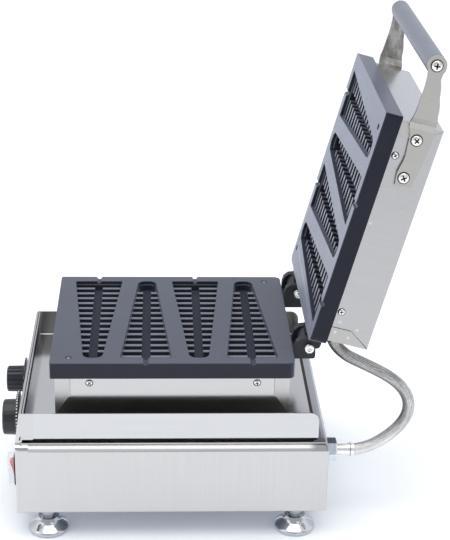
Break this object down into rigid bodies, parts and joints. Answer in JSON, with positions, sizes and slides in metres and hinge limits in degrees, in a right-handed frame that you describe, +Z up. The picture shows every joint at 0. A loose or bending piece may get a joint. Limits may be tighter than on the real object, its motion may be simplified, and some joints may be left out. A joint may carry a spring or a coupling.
{
  "type": "waffle stick maker",
  "caption": "Countertop iron for waffles on sticks: ribbed tapered pockets in a hinged pair of cast plates over a stainless body with timer and thermostat.",
  "frame": {"origin": "on the surface it stands on, under the middle of its bounds with the lid open and the hose left out", "axes": "+Z up; +X towards the machine's right side, where the hose and the hinge bolts' heads are; -Y towards the control panel"},
  "size_m": [0.2986, 0.4959, 0.5768],
  "materials": {
    "brushed_stainless": "brushed stainless sheet",
    "chrome_plate": "bright chrome",
    "coated_casting": "dark non-stick coating on cast aluminium",
    "black_iron": "black",
    "satin_grey_bar": "satin blue-grey coating",
    "black_plastic": "satin black",
    "red_plastic": "gloss red",
    "clear_boot": "clear flexible",
    "green_lens": "gloss green",
    "amber_lens": "gloss amber",
    "black_rubber": "matt black",
    "steel_braid": "woven stainless braid",
    "ceramic_board": "matt fibre board",
    "white_nylon": "satin white"
  },
  "bodies": {
    "base": {"body_shell": "brushed_stainless", "bottom_plate": "brushed_stainless", "deck_gasket": "black_rubber", "deck_tray": "brushed_stainless", "foot_front_left": "chrome_plate", "foot_front_right": "chrome_plate", "foot_rear_left": "chrome_plate", "foot_rear_right": "chrome_plate", "front_panel": "brushed_stainless", "hinge_bolt_left": "chrome_plate", "hinge_bolt_right": "chrome_plate", "hinge_bracket_left": "black_iron", "hinge_bracket_right": "black_iron", "hinge_nut_left": "chrome_plate", "hinge_nut_right": "chrome_plate", "hose": "steel_braid", "hose_ferrule": "chrome_plate", "hose_nut": "chrome_plate", "lower_clamp_plate": "brushed_stainless", "lower_cover": "brushed_stainless", "lower_element": "black_iron", "lower_insulation": "ceramic_board", "lower_pedestal": "brushed_stainless", "lower_plate": "coated_casting", "mains_gland": "black_plastic", "pilot_lamp_heat": "green_lens", "pilot_lamp_timer": "amber_lens", "sensor_bulb": "chrome_plate", "switch_boot": "clear_boot", "switch_housing": "black_plastic", "terminal_block": "white_nylon", "thermostat_body": "white_nylon", "thermostat_shaft": "chrome_plate", "timer_body": "white_nylon", "timer_shaft": "chrome_plate"},
    "lid": {"handle_bar": "satin_grey_bar", "handle_screw_left": "chrome_plate", "handle_screw_right": "chrome_plate", "handle_strap_left": "brushed_stainless", "handle_strap_right": "brushed_stainless", "hinge_knuckle_left": "black_iron", "hinge_knuckle_right": "black_iron", "lid_boot": "black_rubber", "strap_screw_front_left": "chrome_plate", "strap_screw_front_right": "chrome_plate", "strap_screw_rear_left": "chrome_plate", "strap_screw_rear_right": "chrome_plate", "upper_clamp_plate": "brushed_stainless", "upper_cover": "brushed_stainless", "upper_element": "black_iron", "upper_insulation": "ceramic_board", "upper_plate": "coated_casting"},
    "timer_knob": {"timer_knob": "black_plastic"},
    "thermostat_knob": {"thermostat_knob": "black_plastic"},
    "rocker": {"switch_rocker": "red_plastic"}
  },
  "joints": [
    {"name": "lid_hinge", "type": "hinge", "parent": "base", "child": "lid", "pos_m": [0, 0.11553, 0.2241], "axis": [1, 0, 0], "range_deg": [0, 104.7], "deforming": ["hose"]},
    {"name": "timer_spin", "type": "hinge", "parent": "base", "child": "timer_knob", "pos_m": [0.0462, -0.22407, 0.1057], "axis": [0, 1, 0], "range_deg": [0, 300]},
    {"name": "thermostat_spin", "type": "hinge", "parent": "base", "child": "thermostat_knob", "pos_m": [-0.0535, -0.22407, 0.1057], "axis": [0, 1, 0], "range_deg": [0, 270]},
    {"name": "rocker_tilt", "type": "hinge", "parent": "base", "child": "rocker", "pos_m": [0.118, -0.22027, 0.0775], "axis": [1, 0, 0], "range_deg": [-26, 0]}
  ]
}
